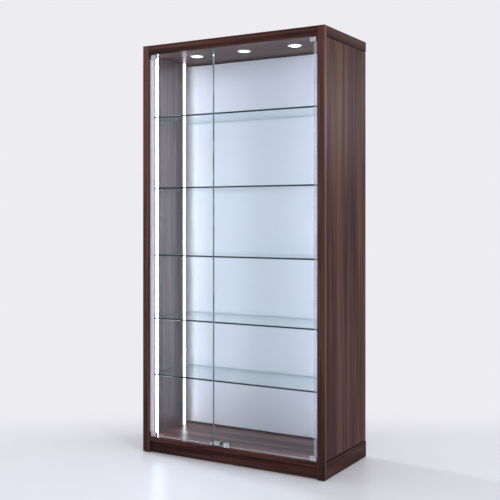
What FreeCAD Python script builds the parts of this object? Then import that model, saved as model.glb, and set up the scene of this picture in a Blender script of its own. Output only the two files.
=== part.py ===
import FreeCAD, Part
import math
import os

from FreeCAD import Vector

# Lit display tower: a dark walnut cabinet with two frameless glass doors on corner pivots,
# five glass shelves on pegs, a light strip upright in each inner corner and three downlights.
# Millimetres. The origin is on the floor under the middle of the cabinet, +Z is up and the
# doors face -Y. Distances "in" are measured from an outer side face towards the middle.

# Overall size
WIDTH = 980.0
DEPTH = 460.0
HEIGHT = 1980.0
OVERRUN = 5.0

# Carcass boards
STILE_WIDTH = 36.0
STILE_DEPTH = 20.0
TOP_THICK = 45.0
FLOOR_HEIGHT = 78.0
BOTTOM_THICK = 21.0
SIDE_THICK = 18.0
SIDE_RECESS = 2.5
SHADOW_GAP = 3.0
SHADOW_DEPTH = 5.0
EDGE_ROUND = 2.0
PLINTH_THICK = 18.0
PLINTH_RECESS = 16.0
BRACE_THICK = 18.0
BRACE_LIFT = 12.0
BLOCK_LEG = 42.0
BLOCK_LIFT = 6.0

# Glides under the plinth
GLIDE_HEIGHT = 3.0
GLIDE_RADIUS = 8.0
GLIDE_BEVEL = 1.0
GLIDE_INSET = 60.0
NAIL_RADIUS = 1.5
NAIL_LENGTH = 16.0

# Back: a white panel in front of a service space, closed by a rear board
SERVICE_DEPTH = 90.0
PANEL_THICK = 6.0
PANEL_GAP = 8.0
PANEL_SIDE_GAP = 0.5
REAR_THICK = 6.0
REAR_INSET = 8.0
REAR_LAP = 8.0
CLEAT_WIDTH = 20.0

# Upright light strips
LED_SETBACK = 42.0
LED_BACK_GAP = 45.0
LED_WIDTH = 24.0
LED_DEPTH = 26.0
LED_WALL = 1.6
LED_LEDGE = 1.6
LED_LEDGE_THICK = 1.4
DIFFUSER_THICK = 2.0
DIFFUSER_DOME = 2.0
TAPE_WIDTH = 10.0
TAPE_THICK = 1.4
CAP_THICK = 2.0

# Downlights in the top
LIGHT_SPACING = 270.0
LIGHT_SETBACK = 145.0
LIGHT_FLANGE_RADIUS = 34.0
LIGHT_FLANGE_THICK = 2.5
LIGHT_BEVEL = 1.5
LIGHT_CAN_RADIUS = 29.0
LIGHT_CAN_HEIGHT = 14.0
LIGHT_BORE_CLEAR = 0.5
LENS_RADIUS = 29.0
LENS_THICK = 1.5
LENS_DOME = 1.5
LENS_CLEAR = 0.2

# Driver and cable entry in the service space
DRIVER_LENGTH = 170.0
DRIVER_DEPTH = 28.0
DRIVER_HEIGHT = 46.0
DRIVER_DROP = 235.0
DRIVER_LUG = 12.0
DRIVER_LUG_THICK = 3.0
DRIVER_HOLE_RADIUS = 2.2
DRIVER_ROUND = 4.0
ENTRY_IN = 130.0
ENTRY_LEVEL = 150.0
ENTRY_BORE_RADIUS = 5.0
ENTRY_WALL = 2.5
ENTRY_LIP = 3.5
ENTRY_LIP_THICK = 2.5

# Glass shelves and their pegs
SHELF_HEIGHT_SHARES = (0.839, 0.653, 0.477, 0.311, 0.163)
SHELF_SETBACK = 30.0
SHELF_THICK = 8.0
SHELF_SIDE_GAP = 2.0
SHELF_BACK_GAP = 3.0
SHELF_LED_GAP = 2.5
SHELF_CORNER_ROUND = 4.0
SHELF_ARRIS = 0.8
PEG_RADIUS = 2.5
PEG_SOCKET = 10.0
PEG_CLEAR = 0.05
PEG_HEAD_RADIUS = 4.0
PEG_FLAT_RISE = 2.6
PEG_REACH = 10.0
PEG_FRONT_INSET = 82.0
PEG_BACK_INSET = 90.0

# Doors
DOOR_SETBACK = 10.0
DOOR_THICK = 6.0
DOOR_SIDE_GAP = 3.0
DOOR_END_GAP = 4.0
DOOR_ARRIS = 0.6
SEAM_GAP = 3.0
SEAM_SHARE = 0.403

# Corner pivots
PIVOT_INSET = 11.0
CLIP_EDGE_GAP = 5.0
CLIP_WIDTH = 30.0
CLIP_HEIGHT = 20.0
CLIP_WALL = 3.0
CLIP_ROUND = 1.0
CLIP_RUN_GAP = 0.2
PAD_THICK = 1.0
PAD_MARGIN = 2.0
GRUB_RADIUS = 2.0
GRUB_SPREAD = 16.0
GRUB_SOCKET_RADIUS = 1.1
GRUB_SOCKET_DEPTH = 1.6
PIN_RADIUS = 3.0
PIN_DEPTH = 12.0
PIN_END_CLEAR = 1.0
PIN_CLEAR = 0.05
BUSH_WALL = 2.0
BUSH_LIP = 2.0
BUSH_LIP_THICK = 0.8

# Strike clips and touch latches at the seam
STRIKE_WALL = 1.5
STRIKE_INSET = 3.0
STRIKE_WIDTH_LEFT = 12.0
STRIKE_HEIGHT_LEFT = 13.0
STRIKE_WIDTH_RIGHT = 32.0
STRIKE_HEIGHT_RIGHT = 20.0
LATCH_WIDTH = 14.0
LATCH_LENGTH = 44.0
LATCH_HEIGHT = 15.0
LATCH_ROUND = 2.0
LATCH_FOOT_LENGTH = 20.0
LATCH_FOOT_THICK = 3.0
TOUCH_GAP = 0.3
TOUCH_TRAVEL = 3.0
TOUCH_SPARE = 0.5
PLUNGER_RADIUS = 3.6
PLUNGER_LENGTH = 26.0
PLUNGER_CLEAR = 0.1
PLUNGER_HEAD_RADIUS = 5.0
PLUNGER_HEAD_THICK = 3.0
LATCH_SCREW_RADIUS = 1.6
LATCH_SCREW_LENGTH = 12.0
LATCH_SCREW_HEAD_RADIUS = 3.2
LATCH_SCREW_HEAD_THICK = 1.8
LATCH_SCREW_SPREAD = 9.0

# Clamp-on lock on the wide door
LOCK_INSET = 58.0
LOCK_WIDTH = 34.0
LOCK_HEIGHT = 20.0
LOCK_FRONT = 9.0
LOCK_REAR = 2.5
LOCK_BASE = 1.8
LOCK_ROUND = 1.5
CYLINDER_OFFSET = 6.0
CYLINDER_RADIUS = 6.0
CYLINDER_PROUD = 0.6
CYLINDER_CLEAR = 0.05
KEYWAY_WIDTH = 1.4
KEYWAY_HEIGHT = 6.0
KEYWAY_DEPTH = 4.0
CAM_THICK = 1.5
CAM_WIDTH = 7.0
CAM_BITE = 7.0
CAM_CLEAR = 0.3
KEEPER_SPARE = 1.0

# Lines that several pieces share
UP = Vector(0, 0, 1)
BACKWARD = Vector(0, 1, 0)
ACROSS = Vector(1, 0, 0)
SIDES = {"left": -1, "right": 1}
HALF = WIDTH / 2
FRONT = -DEPTH / 2
BACK = DEPTH / 2
FRAME_BACK = FRONT + STILE_DEPTH
CEILING = HEIGHT - TOP_THICK
BOTTOM_UNDER = FLOOR_HEIGHT - BOTTOM_THICK
WALL = SIDE_RECESS + SIDE_THICK
REAR_BACK = BACK - REAR_INSET
REAR_FACE = REAR_BACK - REAR_THICK
PANEL_BACK = REAR_FACE - SERVICE_DEPTH
PANEL_FACE = PANEL_BACK - PANEL_THICK
PLINTH_FACE = FRONT + PLINTH_RECESS
PLINTH_BACK = PLINTH_FACE + PLINTH_THICK
LED_REACH = WALL + LED_WIDTH + DIFFUSER_DOME
GLASS_FRONT = FRONT + DOOR_SETBACK
GLASS_BACK = GLASS_FRONT + DOOR_THICK
GLASS_LOW = FLOOR_HEIGHT + DOOR_END_GAP
GLASS_HIGH = CEILING - DOOR_END_GAP
SEAM = -HALF + STILE_WIDTH + (WIDTH - 2 * STILE_WIDTH) * SEAM_SHARE
CLIP_BASE = DOOR_END_GAP - BUSH_LIP_THICK - CLIP_RUN_GAP
CLIP_BACK = GLASS_BACK + PAD_THICK + CLIP_WALL
PIVOT_IN = STILE_WIDTH + DOOR_SIDE_GAP + PIVOT_INSET
PIVOT_Y = (GLASS_FRONT - CLIP_WALL + CLIP_BACK) / 2
BUSH_RADIUS = PIN_RADIUS + PIN_CLEAR + BUSH_WALL
DRIVER_LEVEL = CEILING - DRIVER_DROP
SHELF_TOPS = [FLOOR_HEIGHT + share * (CEILING - FLOOR_HEIGHT) for share in SHELF_HEIGHT_SHARES]
SHELF_FRONT = FRONT + SHELF_SETBACK
SHELF_BACK = PANEL_FACE - SHELF_BACK_GAP
LIGHT_Y = FRONT + LIGHT_SETBACK
LIGHT_PLACES = {"left": -LIGHT_SPACING, "centre": 0.0, "right": LIGHT_SPACING}
STRIKE_SIZES = {
    "left": (STRIKE_WIDTH_LEFT, STRIKE_HEIGHT_LEFT),
    "right": (STRIKE_WIDTH_RIGHT, STRIKE_HEIGHT_RIGHT),
}
STRIKE_BACK = GLASS_BACK + STRIKE_WALL
PLUNGER_FACE = STRIKE_BACK + TOUCH_GAP
LATCH_FACE = PLUNGER_FACE + PLUNGER_HEAD_THICK + TOUCH_TRAVEL + TOUCH_SPARE
LATCH_BACK = LATCH_FACE + LATCH_LENGTH
LATCH_LEVEL = FLOOR_HEIGHT + LATCH_FOOT_THICK + (LATCH_HEIGHT - LATCH_FOOT_THICK) / 2
LOCK_LEFT = SEAM + SEAM_GAP / 2 + LOCK_INSET
LOCK_MIDDLE = LOCK_LEFT + LOCK_WIDTH / 2
LOCK_FACE = GLASS_FRONT - LOCK_FRONT
LOCK_UNDER = GLASS_LOW - LOCK_BASE
CYLINDER_LEVEL = LOCK_UNDER + LOCK_HEIGHT / 2
CYLINDER_X = LOCK_MIDDLE - CYLINDER_OFFSET
CAM_BACK = GLASS_FRONT - CAM_CLEAR
CAM_FACE = CAM_BACK - CAM_THICK
CAM_REACH = CYLINDER_LEVEL - FLOOR_HEIGHT + CAM_BITE


def board(xs, ys, zs):
    """A plain box between three pairs of coordinates."""
    return Part.makeBox(xs[1] - xs[0], ys[1] - ys[0], zs[1] - zs[0], Vector(xs[0], ys[0], zs[0]))


def inward(side, near, far):
    """The x range between two distances in from the outer face of one side."""
    return tuple(sorted((side * (HALF - near), side * (HALF - far))))


def prism(outline, travel):
    """A straight extrusion of a closed outline of points."""
    return Part.Face(Part.makePolygon(outline + outline[:1])).extrude(travel)


def turned(profile, place):
    """A solid of revolution about a vertical axis, from (radius, height) points."""
    outline = [Vector(radius, 0, height) for radius, height in profile]
    face = Part.Face(Part.makePolygon(outline + outline[:1]))
    solid = face.revolve(Vector(0, 0, 0), UP, 360)
    solid.translate(place)
    return solid


def edges_along(shape, axis, wanted):
    """The straight edges parallel to an axis whose middle passes a test."""
    found = []
    for edge in shape.Edges:
        run = edge.Vertexes[-1].Point.sub(edge.Vertexes[0].Point)
        if run.Length > 0 and run.cross(axis).Length < run.Length / 1000:
            if wanted(edge.CenterOfMass):
                found.append(edge)
    return found


def at(value, *places):
    """Whether a coordinate lies on one of the places."""
    return any(abs(value - place) < EDGE_ROUND / 100 for place in places)


def stile(side):
    xs = inward(side, 0, STILE_WIDTH)
    post = board(xs, (FRONT, FRAME_BACK), (GLIDE_HEIGHT, HEIGHT))
    return post.makeFillet(EDGE_ROUND, edges_along(post, UP, lambda p: at(p.y, FRONT)))


def top_rail():
    xs = (-HALF + STILE_WIDTH, HALF - STILE_WIDTH)
    rail = board(xs, (FRONT, FRAME_BACK), (CEILING, HEIGHT))
    rail = rail.makeFillet(EDGE_ROUND, edges_along(rail, ACROSS, lambda p: at(p.y, FRONT)))
    return rail.cut(bush_holes(CEILING, 1))


def bush_holes(face, way):
    """Blind sockets for both pivot bushes, sunk into a face along way (+1 up, -1 down)."""
    holes = []
    for side in SIDES.values():
        place = Vector(side * (HALF - PIVOT_IN), PIVOT_Y, face)
        holes.append(Part.makeCylinder(BUSH_RADIUS, PIN_DEPTH, place, UP * way))
    return Part.makeCompound(holes)


def top_slab():
    slab = board((-HALF, HALF), (FRAME_BACK, BACK), (CEILING, HEIGHT))
    corners = edges_along(slab, UP, lambda p: at(p.y, BACK))
    slab = slab.makeFillet(EDGE_ROUND, corners)
    slab = slab.cut(bush_holes(CEILING, 1))
    for x in LIGHT_PLACES.values():
        radius = LIGHT_CAN_RADIUS + LIGHT_BORE_CLEAR
        slab = slab.cut(Part.makeCylinder(radius, LIGHT_CAN_HEIGHT, Vector(x, LIGHT_Y, CEILING), UP))
    return slab


def peg_rows():
    """The two depths at which pegs stand under each shelf."""
    return (SHELF_FRONT + PEG_FRONT_INSET, SHELF_BACK - PEG_BACK_INSET)


def peg_level(shelf_top):
    return shelf_top - SHELF_THICK - PEG_FLAT_RISE


def side_panel(side):
    ys = (FRAME_BACK, BACK)
    panel = board(inward(side, SIDE_RECESS, WALL), ys, (FLOOR_HEIGHT, CEILING))
    groove = inward(side, SIDE_RECESS - OVERRUN, SIDE_RECESS + SHADOW_DEPTH)
    past = (FRAME_BACK - OVERRUN, BACK + OVERRUN)
    full = (FLOOR_HEIGHT - OVERRUN, CEILING + OVERRUN)
    panel = panel.cut(board(groove, past, (CEILING - SHADOW_GAP, CEILING + OVERRUN)))
    panel = panel.cut(board(groove, past, (FLOOR_HEIGHT - OVERRUN, FLOOR_HEIGHT + SHADOW_GAP)))
    panel = panel.cut(board(groove, (FRAME_BACK - OVERRUN, FRAME_BACK + SHADOW_GAP), full))
    rebate = inward(side, WALL - REAR_LAP, WALL + OVERRUN)
    panel = panel.cut(board(rebate, (REAR_FACE, BACK + OVERRUN), full))
    for shelf_top in SHELF_TOPS:
        for y in peg_rows():
            start = Vector(side * (HALF - WALL), y, peg_level(shelf_top))
            radius = PEG_RADIUS + PEG_CLEAR
            panel = panel.cut(Part.makeCylinder(radius, PEG_SOCKET, start, ACROSS * side))
    return panel


def bottom_panel():
    zs = (BOTTOM_UNDER, FLOOR_HEIGHT)
    body = board((-HALF + PLINTH_THICK, HALF - PLINTH_THICK), (FRAME_BACK, REAR_BACK), zs)
    nose = board((-HALF + STILE_WIDTH, HALF - STILE_WIDTH), (FRONT, FRAME_BACK), zs)
    nose = nose.makeFillet(EDGE_ROUND, edges_along(nose, ACROSS, lambda p: at(p.y, FRONT)))
    panel = body.fuse(nose).removeSplitter()
    panel = panel.cut(bush_holes(FLOOR_HEIGHT, -1))
    panel = panel.cut(keeper_slot())
    for name in SIDES:
        for x, y in latch_screw_places(name):
            start = Vector(x, y, FLOOR_HEIGHT)
            panel = panel.cut(Part.makeCylinder(LATCH_SCREW_RADIUS, LATCH_SCREW_LENGTH, start, UP * -1))
    return panel


def keeper_slot():
    """The slot that the lock's cam swings down into, as wide as the cam sweeps at the floor."""
    drop = CYLINDER_LEVEL - FLOOR_HEIGHT
    sweep = math.sqrt(CAM_REACH * CAM_REACH - drop * drop)
    xs = (CYLINDER_X - CAM_WIDTH / 2 - CAM_CLEAR, CYLINDER_X + sweep + CAM_CLEAR)
    low = FLOOR_HEIGHT - CAM_BITE - KEEPER_SPARE
    return board(xs, (CAM_FACE - CAM_CLEAR, GLASS_FRONT), (low, FLOOR_HEIGHT + OVERRUN))


def glide_places():
    """Two glides under each plinth side and one under the front and the back board."""
    places = []
    for side in SIDES.values():
        for y in (FRAME_BACK + GLIDE_INSET, BACK - GLIDE_INSET):
            places.append(Vector(side * (HALF - PLINTH_THICK / 2), y, 0))
    places.append(Vector(0, PLINTH_FACE + PLINTH_THICK / 2, 0))
    places.append(Vector(0, BACK - PLINTH_THICK / 2, 0))
    return places


def with_nail_holes(wood):
    for place in glide_places():
        start = place + UP * GLIDE_HEIGHT
        wood = wood.cut(Part.makeCylinder(NAIL_RADIUS, NAIL_LENGTH, start, UP))
    return wood


def plinth_side(side):
    xs = inward(side, 0, PLINTH_THICK)
    return with_nail_holes(board(xs, (FRAME_BACK, BACK), (GLIDE_HEIGHT, FLOOR_HEIGHT)))


def plinth_front():
    zs = (GLIDE_HEIGHT, BOTTOM_UNDER)
    face = board((-HALF + STILE_WIDTH, HALF - STILE_WIDTH), (PLINTH_FACE, PLINTH_BACK), zs)
    laps = board((-HALF + PLINTH_THICK, HALF - PLINTH_THICK), (FRAME_BACK, PLINTH_BACK), zs)
    return with_nail_holes(face.fuse(laps).removeSplitter())


def plinth_back():
    xs = (-HALF + PLINTH_THICK, HALF - PLINTH_THICK)
    return with_nail_holes(board(xs, (BACK - PLINTH_THICK, BACK), (GLIDE_HEIGHT, BOTTOM_UNDER)))


def plinth_brace():
    ys = (PLINTH_BACK, BACK - PLINTH_THICK)
    return board((-BRACE_THICK / 2, BRACE_THICK / 2), ys, (BRACE_LIFT, BOTTOM_UNDER))


def plinth_blocks():
    """A three-cornered glue block in each inside corner of the plinth."""
    blocks = []
    base = GLIDE_HEIGHT + BLOCK_LIFT
    for side in SIDES.values():
        for corner_y, way in ((PLINTH_BACK, 1), (BACK - PLINTH_THICK, -1)):
            corner = Vector(side * (HALF - PLINTH_THICK), corner_y, base)
            legs = [corner, corner - ACROSS * side * BLOCK_LEG, corner + BACKWARD * way * BLOCK_LEG]
            blocks.append(prism(legs, UP * (BOTTOM_UNDER - base)))
    return blocks


def glide(place):
    foot = Part.makeCone(GLIDE_RADIUS - GLIDE_BEVEL, GLIDE_RADIUS, GLIDE_HEIGHT, place, UP)
    nail = Part.makeCylinder(NAIL_RADIUS, NAIL_LENGTH, place + UP * GLIDE_HEIGHT, UP)
    return foot.fuse(nail)


def back_panel():
    xs = inward(-1, WALL + PANEL_SIDE_GAP, WIDTH - WALL - PANEL_SIDE_GAP)
    return board(xs, (PANEL_FACE, PANEL_BACK), (FLOOR_HEIGHT + PANEL_GAP, CEILING - PANEL_GAP))


def back_cleat(side):
    return board(inward(side, WALL, WALL + CLEAT_WIDTH), (PANEL_BACK, REAR_FACE), (FLOOR_HEIGHT, CEILING))


def entry_place(y):
    return Vector(HALF - ENTRY_IN, y, ENTRY_LEVEL)


def rear_board():
    lap = WALL - REAR_LAP
    sheet = board((-HALF + lap, HALF - lap), (REAR_FACE, REAR_BACK), (FLOOR_HEIGHT, CEILING))
    radius = ENTRY_BORE_RADIUS + ENTRY_WALL
    return sheet.cut(Part.makeCylinder(radius, REAR_THICK, entry_place(REAR_FACE), BACKWARD))


def cable_grommet():
    """A rubber bush with a lip on each face of the rear board."""
    sleeve_radius = ENTRY_BORE_RADIUS + ENTRY_WALL
    lip_radius = sleeve_radius + ENTRY_LIP
    sleeve = Part.makeCylinder(sleeve_radius, REAR_THICK, entry_place(REAR_FACE), BACKWARD)
    inner_end = entry_place(REAR_FACE - ENTRY_LIP_THICK)
    inner = Part.makeCylinder(lip_radius, ENTRY_LIP_THICK, inner_end, BACKWARD)
    outer = Part.makeCylinder(lip_radius, ENTRY_LIP_THICK, entry_place(REAR_BACK), BACKWARD)
    length = REAR_THICK + 2 * ENTRY_LIP_THICK
    bore = Part.makeCylinder(ENTRY_BORE_RADIUS, length, inner_end, BACKWARD)
    return sleeve.fuse([inner, outer]).cut(bore)


def led_driver():
    low = DRIVER_LEVEL - DRIVER_HEIGHT / 2
    half = DRIVER_LENGTH / 2
    case = board((-half, half), (REAR_FACE - DRIVER_DEPTH, REAR_FACE), (low, low + DRIVER_HEIGHT))
    front = REAR_FACE - DRIVER_DEPTH
    case = case.makeFillet(DRIVER_ROUND, edges_along(case, ACROSS, lambda p: at(p.y, front)))
    reach = half + DRIVER_LUG
    lugs = board((-reach, reach), (REAR_FACE - DRIVER_LUG_THICK, REAR_FACE), (low, low + DRIVER_HEIGHT))
    for side in SIDES.values():
        hole = Vector(side * (half + DRIVER_LUG / 2), REAR_FACE - DRIVER_LUG_THICK, DRIVER_LEVEL)
        lugs = lugs.cut(Part.makeCylinder(DRIVER_HOLE_RADIUS, DRIVER_LUG_THICK, hole, BACKWARD))
    return case.fuse(lugs).removeSplitter()


def led_rows():
    """The front face of the front and of the back light uprights."""
    return {"front": FRONT + LED_SETBACK, "back": PANEL_FACE - LED_BACK_GAP - LED_DEPTH}


def led_point(side, row_y, reach, along, level):
    """A point of the upright's section: reach from the wall, along the depth."""
    return Vector(side * (HALF - WALL - reach), row_y + along, level)


def led_channel(side, row_y):
    """An aluminium trough that opens inward, with a ledge under each edge of its cover."""
    seat = LED_WIDTH - DIFFUSER_THICK
    ledge = seat - LED_LEDGE_THICK
    half = [
        (0, 0),
        (LED_WIDTH, 0),
        (LED_WIDTH, LED_WALL),
        (seat, LED_WALL),
        (seat, LED_WALL + LED_LEDGE),
        (ledge, LED_WALL + LED_LEDGE),
        (ledge, LED_WALL),
        (LED_WALL, LED_WALL),
    ]
    section = half + [(reach, LED_DEPTH - along) for reach, along in reversed(half)]
    low = FLOOR_HEIGHT + CAP_THICK
    outline = [led_point(side, row_y, reach, along, low) for reach, along in section]
    return prism(outline, UP * (CEILING - CAP_THICK - low))


def led_diffuser(side, row_y):
    """The opal cover: a flat strip with a low domed face."""
    low = FLOOR_HEIGHT + CAP_THICK
    seat = LED_WIDTH - DIFFUSER_THICK
    near, far = LED_WALL, LED_DEPTH - LED_WALL
    corners = [(LED_WIDTH, far), (seat, far), (seat, near), (LED_WIDTH, near)]
    points = [led_point(side, row_y, reach, along, low) for reach, along in corners]
    crown = led_point(side, row_y, LED_WIDTH + DIFFUSER_DOME, LED_DEPTH / 2, low)
    edges = [Part.LineSegment(start, end).toShape() for start, end in zip(points, points[1:])]
    edges.append(Part.Arc(points[-1], crown, points[0]).toShape())
    return Part.Face(Part.Wire(edges)).extrude(UP * (CEILING - CAP_THICK - low))


def led_tape(side, row_y):
    middle = row_y + LED_DEPTH / 2
    xs = inward(side, WALL + LED_WALL, WALL + LED_WALL + TAPE_THICK)
    return board(xs, (middle - TAPE_WIDTH / 2, middle + TAPE_WIDTH / 2),
                 (FLOOR_HEIGHT + CAP_THICK, CEILING - CAP_THICK))


def led_caps(side, row_y):
    xs = inward(side, WALL, WALL + LED_WIDTH)
    ys = (row_y, row_y + LED_DEPTH)
    low = board(xs, ys, (FLOOR_HEIGHT, FLOOR_HEIGHT + CAP_THICK))
    high = board(xs, ys, (CEILING - CAP_THICK, CEILING))
    return [low, high]


def downlight(x):
    """A turned housing: a bevelled flange under the ceiling and a can in the slab."""
    seat = LENS_THICK - LIGHT_FLANGE_THICK
    lens_hole = LENS_RADIUS - LENS_CLEAR
    profile = [
        (0, LIGHT_CAN_HEIGHT),
        (LIGHT_CAN_RADIUS, LIGHT_CAN_HEIGHT),
        (LIGHT_CAN_RADIUS, 0),
        (LIGHT_FLANGE_RADIUS, 0),
        (LIGHT_FLANGE_RADIUS - LIGHT_BEVEL, -LIGHT_FLANGE_THICK),
        (lens_hole, -LIGHT_FLANGE_THICK),
        (lens_hole, seat),
        (0, seat),
    ]
    return turned(profile, Vector(x, LIGHT_Y, CEILING))


def downlight_lens(x):
    """A frosted disc with a shallow crown, seated in the flange."""
    radius = LENS_RADIUS - 2 * LENS_CLEAR
    ball = (radius * radius + LENS_DOME * LENS_DOME) / (2 * LENS_DOME)
    face = CEILING - LIGHT_FLANGE_THICK
    disc = Part.makeCylinder(radius, LENS_THICK + LENS_DOME, Vector(x, LIGHT_Y, face - LENS_DOME), UP)
    return disc.common(Part.makeSphere(ball, Vector(x, LIGHT_Y, face - LENS_DOME + ball)))


def shelf(shelf_top):
    """A glass plate, notched where the light uprights pass: in its sides, and at its back corners."""
    zs = (shelf_top - SHELF_THICK, shelf_top)
    reach = HALF - WALL - SHELF_SIDE_GAP
    plate = board((-reach, reach), (SHELF_FRONT, SHELF_BACK), zs)
    past = (zs[0] - OVERRUN, zs[1] + OVERRUN)
    inner = HALF - LED_REACH - SHELF_LED_GAP
    rows = led_rows()
    front_notch = (rows["front"] - SHELF_LED_GAP, rows["front"] + LED_DEPTH + SHELF_LED_GAP)
    back_notch = (rows["back"] - SHELF_LED_GAP, SHELF_BACK + OVERRUN)
    for side in SIDES.values():
        xs = tuple(sorted((side * inner, side * (reach + OVERRUN))))
        for ys in (front_notch, back_notch):
            plate = plate.cut(board(xs, ys, past))
    plate = plate.makeFillet(SHELF_CORNER_ROUND, edges_along(plate, UP, lambda p: True))
    rims = [edge for edge in plate.Edges if at(edge.CenterOfMass.z, *zs)]
    return plate.makeChamfer(SHELF_ARRIS, rims)


def shelf_peg(side, y, shelf_top):
    """A turned peg in the side panel, its head cut flat under the shelf."""
    level = peg_level(shelf_top)
    start = Vector(side * (HALF - WALL), y, level)
    pin = Part.makeCylinder(PEG_RADIUS, PEG_SOCKET, start, ACROSS * side)
    head = Part.makeCylinder(PEG_HEAD_RADIUS, PEG_REACH, start, ACROSS * -side)
    above = board(inward(side, WALL, WALL + PEG_REACH), (y - PEG_HEAD_RADIUS, y + PEG_HEAD_RADIUS),
                  (shelf_top - SHELF_THICK, shelf_top))
    return head.cut(above).fuse(pin)


def door_edges(name):
    """The x range of one glass door, from its stile to the seam."""
    hinge_edge = HALF - STILE_WIDTH - DOOR_SIDE_GAP
    if name == "left":
        return (-hinge_edge, SEAM - SEAM_GAP / 2)
    return (SEAM + SEAM_GAP / 2, hinge_edge)


def door_glass(name):
    pane = board(door_edges(name), (GLASS_FRONT, GLASS_BACK), (GLASS_LOW, GLASS_HIGH))
    return pane.makeChamfer(DOOR_ARRIS, pane.Edges)


def glass_clip(xs, end, way, height, walls, base, rounding):
    """A U clip round an end of the glass; way points from that end into the pane."""
    front_wall, rear_gap, rear_wall = walls
    ys = (GLASS_FRONT - front_wall, GLASS_FRONT, GLASS_BACK + rear_gap, GLASS_BACK + rear_gap + rear_wall)
    outer = end - way * base
    rim = outer + way * height
    section = [(0, outer), (0, rim), (1, rim), (1, end), (2, end), (2, rim), (3, rim), (3, outer)]
    clip = prism([Vector(xs[0], ys[place], z) for place, z in section], ACROSS * (xs[1] - xs[0]))
    return clip.makeFillet(rounding, edges_along(clip, ACROSS, lambda p: at(p.y, ys[0], ys[3])))


def clip_span(side):
    near = STILE_WIDTH + DOOR_SIDE_GAP + CLIP_EDGE_GAP
    return inward(side, near, near + CLIP_WIDTH)


def door_ends():
    """Each end of the glass with the way into the pane and the face that the pivot runs in."""
    return {"bottom": (GLASS_LOW, 1, FLOOR_HEIGHT), "top": (GLASS_HIGH, -1, CEILING)}


def grub_places(side, end, way):
    middle = sum(clip_span(side)) / 2
    level = end + way * (CLIP_HEIGHT - CLIP_BASE) / 2
    spread = GRUB_SPREAD / 2
    return [Vector(middle + step, GLASS_BACK + PAD_THICK, level) for step in (-spread, spread)]


def pivot_clip(side, end, way, face):
    """A pivot shoe: the clip, its pivot pin and two tapped holes for the grub screws."""
    walls = (CLIP_WALL, PAD_THICK, CLIP_WALL)
    shoe = glass_clip(clip_span(side), end, way, CLIP_HEIGHT, walls, CLIP_BASE, CLIP_ROUND)
    for place in grub_places(side, end, way):
        shoe = shoe.cut(Part.makeCylinder(GRUB_RADIUS, CLIP_WALL, place, BACKWARD))
    root = end - way * CLIP_BASE / 2
    tip = face - way * (PIN_DEPTH - PIN_END_CLEAR)
    pin_root = Vector(side * (HALF - PIVOT_IN), PIVOT_Y, root)
    return shoe.fuse(Part.makeCylinder(PIN_RADIUS, abs(root - tip), pin_root, UP * -way))


def clamp_pad(side, end, way):
    xs = clip_span(side)
    zs = sorted((end, end + way * (CLIP_HEIGHT - CLIP_BASE - PAD_MARGIN)))
    return board((xs[0] + PAD_MARGIN, xs[1] - PAD_MARGIN), (GLASS_BACK, GLASS_BACK + PAD_THICK), zs)


def grub_screw(place):
    """A set screw, flush with the clip, with a hexagon socket."""
    screw = Part.makeCylinder(GRUB_RADIUS, CLIP_WALL, place, BACKWARD)
    bed = place + BACKWARD * (CLIP_WALL - GRUB_SOCKET_DEPTH)
    corners = []
    for number in range(6):
        angle = number * math.pi / 3
        arm = ACROSS * math.cos(angle) + UP * math.sin(angle)
        corners.append(bed + arm * GRUB_SOCKET_RADIUS)
    return screw.cut(prism(corners, BACKWARD * GRUB_SOCKET_DEPTH))


def pivot_bush(side, way, face):
    """A lipped nylon bush sunk in the board that the pivot pin runs in."""
    place = Vector(side * (HALF - PIVOT_IN), PIVOT_Y, face)
    sleeve = Part.makeCylinder(BUSH_RADIUS, PIN_DEPTH, place, UP * -way)
    lip = Part.makeCylinder(BUSH_RADIUS + BUSH_LIP, BUSH_LIP_THICK, place, UP * way)
    bore_start = place + UP * way * BUSH_LIP_THICK
    bore = Part.makeCylinder(PIN_RADIUS + PIN_CLEAR, PIN_DEPTH + BUSH_LIP_THICK, bore_start, UP * -way)
    return sleeve.fuse(lip).cut(bore)


def strike_span(name):
    width = STRIKE_SIZES[name][0]
    if name == "left":
        free_edge = door_edges(name)[1]
        return (free_edge - STRIKE_INSET - width, free_edge - STRIKE_INSET)
    free_edge = door_edges(name)[0]
    return (free_edge + STRIKE_INSET, free_edge + STRIKE_INSET + width)


def strike_clip(name):
    walls = (STRIKE_WALL, 0, STRIKE_WALL)
    height = STRIKE_SIZES[name][1]
    return glass_clip(strike_span(name), GLASS_LOW, 1, height, walls, STRIKE_WALL, STRIKE_WALL / 3)


def latch_middle(name):
    return sum(strike_span(name)) / 2


def latch_screw_places(name):
    middle = LATCH_BACK + LATCH_FOOT_LENGTH / 2
    spread = LATCH_SCREW_SPREAD / 2
    return [(latch_middle(name), middle + step) for step in (-spread, spread)]


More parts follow.
